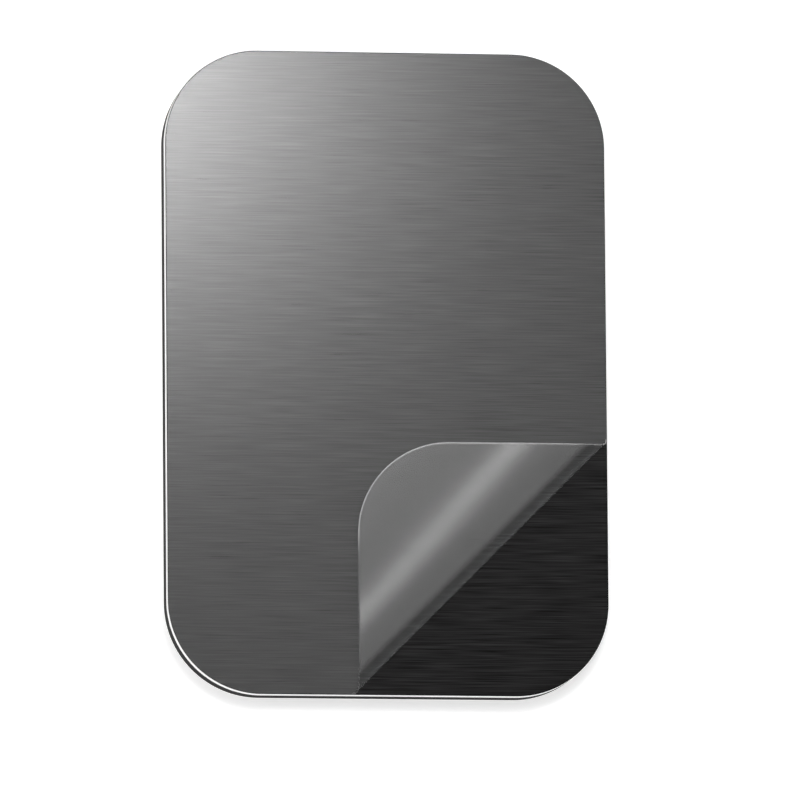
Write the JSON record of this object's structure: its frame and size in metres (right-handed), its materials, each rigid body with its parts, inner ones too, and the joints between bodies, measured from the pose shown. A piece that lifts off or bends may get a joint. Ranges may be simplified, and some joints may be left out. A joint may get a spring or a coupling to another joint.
{
  "type": "magnetic phone mount plate",
  "caption": "Thin rounded rectangular steel plate with an adhesive foam back and a clear face film whose corner is peeled and folded back; a magnetic holder grips it.",
  "frame": {"origin": "middle of the underside, on the surface that the plate lies on", "axes": "+Z out of the brushed face, +Y along the long side towards the end away from the peeled corner, +X towards the peeled corner's side"},
  "size_m": [0.0446, 0.065, 0.0043],
  "materials": {
    "clear_film": "clear satin film",
    "black_brushed_steel": "black, brushed across the width, with bare cut edges",
    "black_foam": "closed-cell foam tape",
    "liner_paper": "smooth silicone-coated paper"
  },
  "bodies": {
    "root": {"protective_film": "clear_film", "steel_plate": "black_brushed_steel", "adhesive_pad": "black_foam", "release_liner": "liner_paper"}
  },
  "joints": []
}
